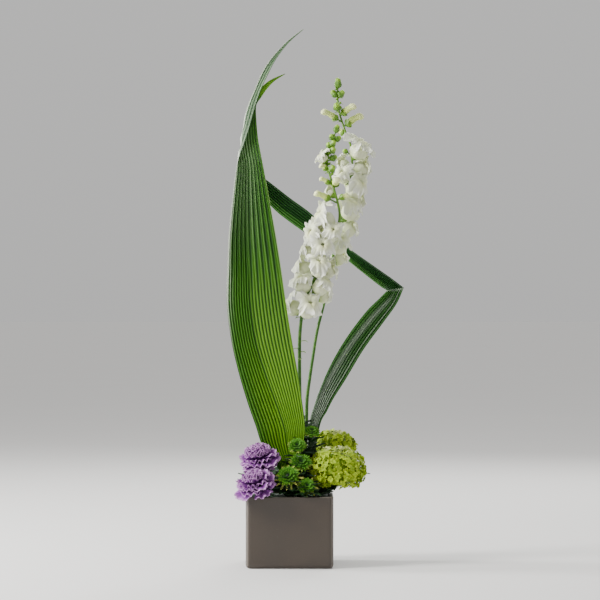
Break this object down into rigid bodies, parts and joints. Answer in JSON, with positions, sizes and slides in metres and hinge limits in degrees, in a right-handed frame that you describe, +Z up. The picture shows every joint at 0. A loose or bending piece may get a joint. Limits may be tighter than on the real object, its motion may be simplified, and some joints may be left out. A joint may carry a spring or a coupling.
{
  "type": "flower arrangement in vase",
  "caption": "Tall asymmetric flower arrangement in a square ceramic vase: pleated leaf, creased leaf, white snapdragons, lilac carnations, green chrysanthemums and hydrangea.",
  "frame": {"origin": "centre of the underside of the vase, on the surface it stands on", "axes": "+Z up, -Y toward the viewer of the front, +X to the right of that view"},
  "size_m": [0.2575, 0.1849, 0.773],
  "materials": {
    "vase_ceramic": "satin",
    "wet_foam": "matte",
    "tall_leaf": "satin",
    "dark_leaf": "satin",
    "stem": "satin",
    "white_petal": "matte",
    "cream_bud": "matte",
    "lilac_petal": "matte",
    "lime_sepal": "matte",
    "button_petal": "matte"
  },
  "bodies": {
    "root": {"carnation_lower": "lilac_petal", "carnation_lower_stem": "stem", "carnation_upper": "lilac_petal", "carnation_upper_stem": "stem", "chrysanthemum_high": "button_petal", "chrysanthemum_low": "button_petal", "chrysanthemum_mid": "button_petal", "chrysanthemum_side": "button_petal", "chrysanthemum_top": "button_petal", "cover_leaves_left": "dark_leaf", "cover_leaves_right": "dark_leaf", "floral_foam": "wet_foam", "hydrangea_back": "lime_sepal", "hydrangea_back_stem": "dark_leaf", "hydrangea_front": "lime_sepal", "hydrangea_front_stem": "dark_leaf", "leaf_folded": "dark_leaf", "leaf_tall": "tall_leaf", "snapdragon_back_bud_01": "cream_bud", "snapdragon_back_bud_02": "cream_bud", "snapdragon_back_bud_03": "cream_bud", "snapdragon_back_bud_04": "cream_bud", "snapdragon_back_floret_01": "white_petal", "snapdragon_back_floret_02": "white_petal", "snapdragon_back_floret_03": "white_petal", "snapdragon_back_floret_04": "white_petal", "snapdragon_back_floret_05": "white_petal", "snapdragon_back_floret_06": "white_petal", "snapdragon_back_floret_07": "white_petal", "snapdragon_back_floret_08": "white_petal", "snapdragon_back_floret_09": "white_petal", "snapdragon_back_floret_10": "white_petal", "snapdragon_back_floret_11": "white_petal", "snapdragon_back_floret_12": "white_petal", "snapdragon_back_stem": "stem", "snapdragon_front_bud_01": "cream_bud", "snapdragon_front_bud_02": "cream_bud", "snapdragon_front_bud_03": "cream_bud", "snapdragon_front_bud_04": "cream_bud", "snapdragon_front_bud_05": "cream_bud", "snapdragon_front_floret_01": "white_petal", "snapdragon_front_floret_02": "white_petal", "snapdragon_front_floret_03": "white_petal", "snapdragon_front_floret_04": "white_petal", "snapdragon_front_floret_05": "white_petal", "snapdragon_front_floret_06": "white_petal", "snapdragon_front_floret_07": "white_petal", "snapdragon_front_floret_08": "white_petal", "snapdragon_front_floret_09": "white_petal", "snapdragon_front_floret_10": "white_petal", "snapdragon_front_floret_11": "white_petal", "snapdragon_front_floret_12": "white_petal", "snapdragon_front_floret_13": "white_petal", "snapdragon_front_floret_14": "white_petal", "snapdragon_front_floret_15": "white_petal", "snapdragon_front_floret_16": "white_petal", "snapdragon_front_stem": "stem", "vase": "vase_ceramic"}
  },
  "joints": []
}
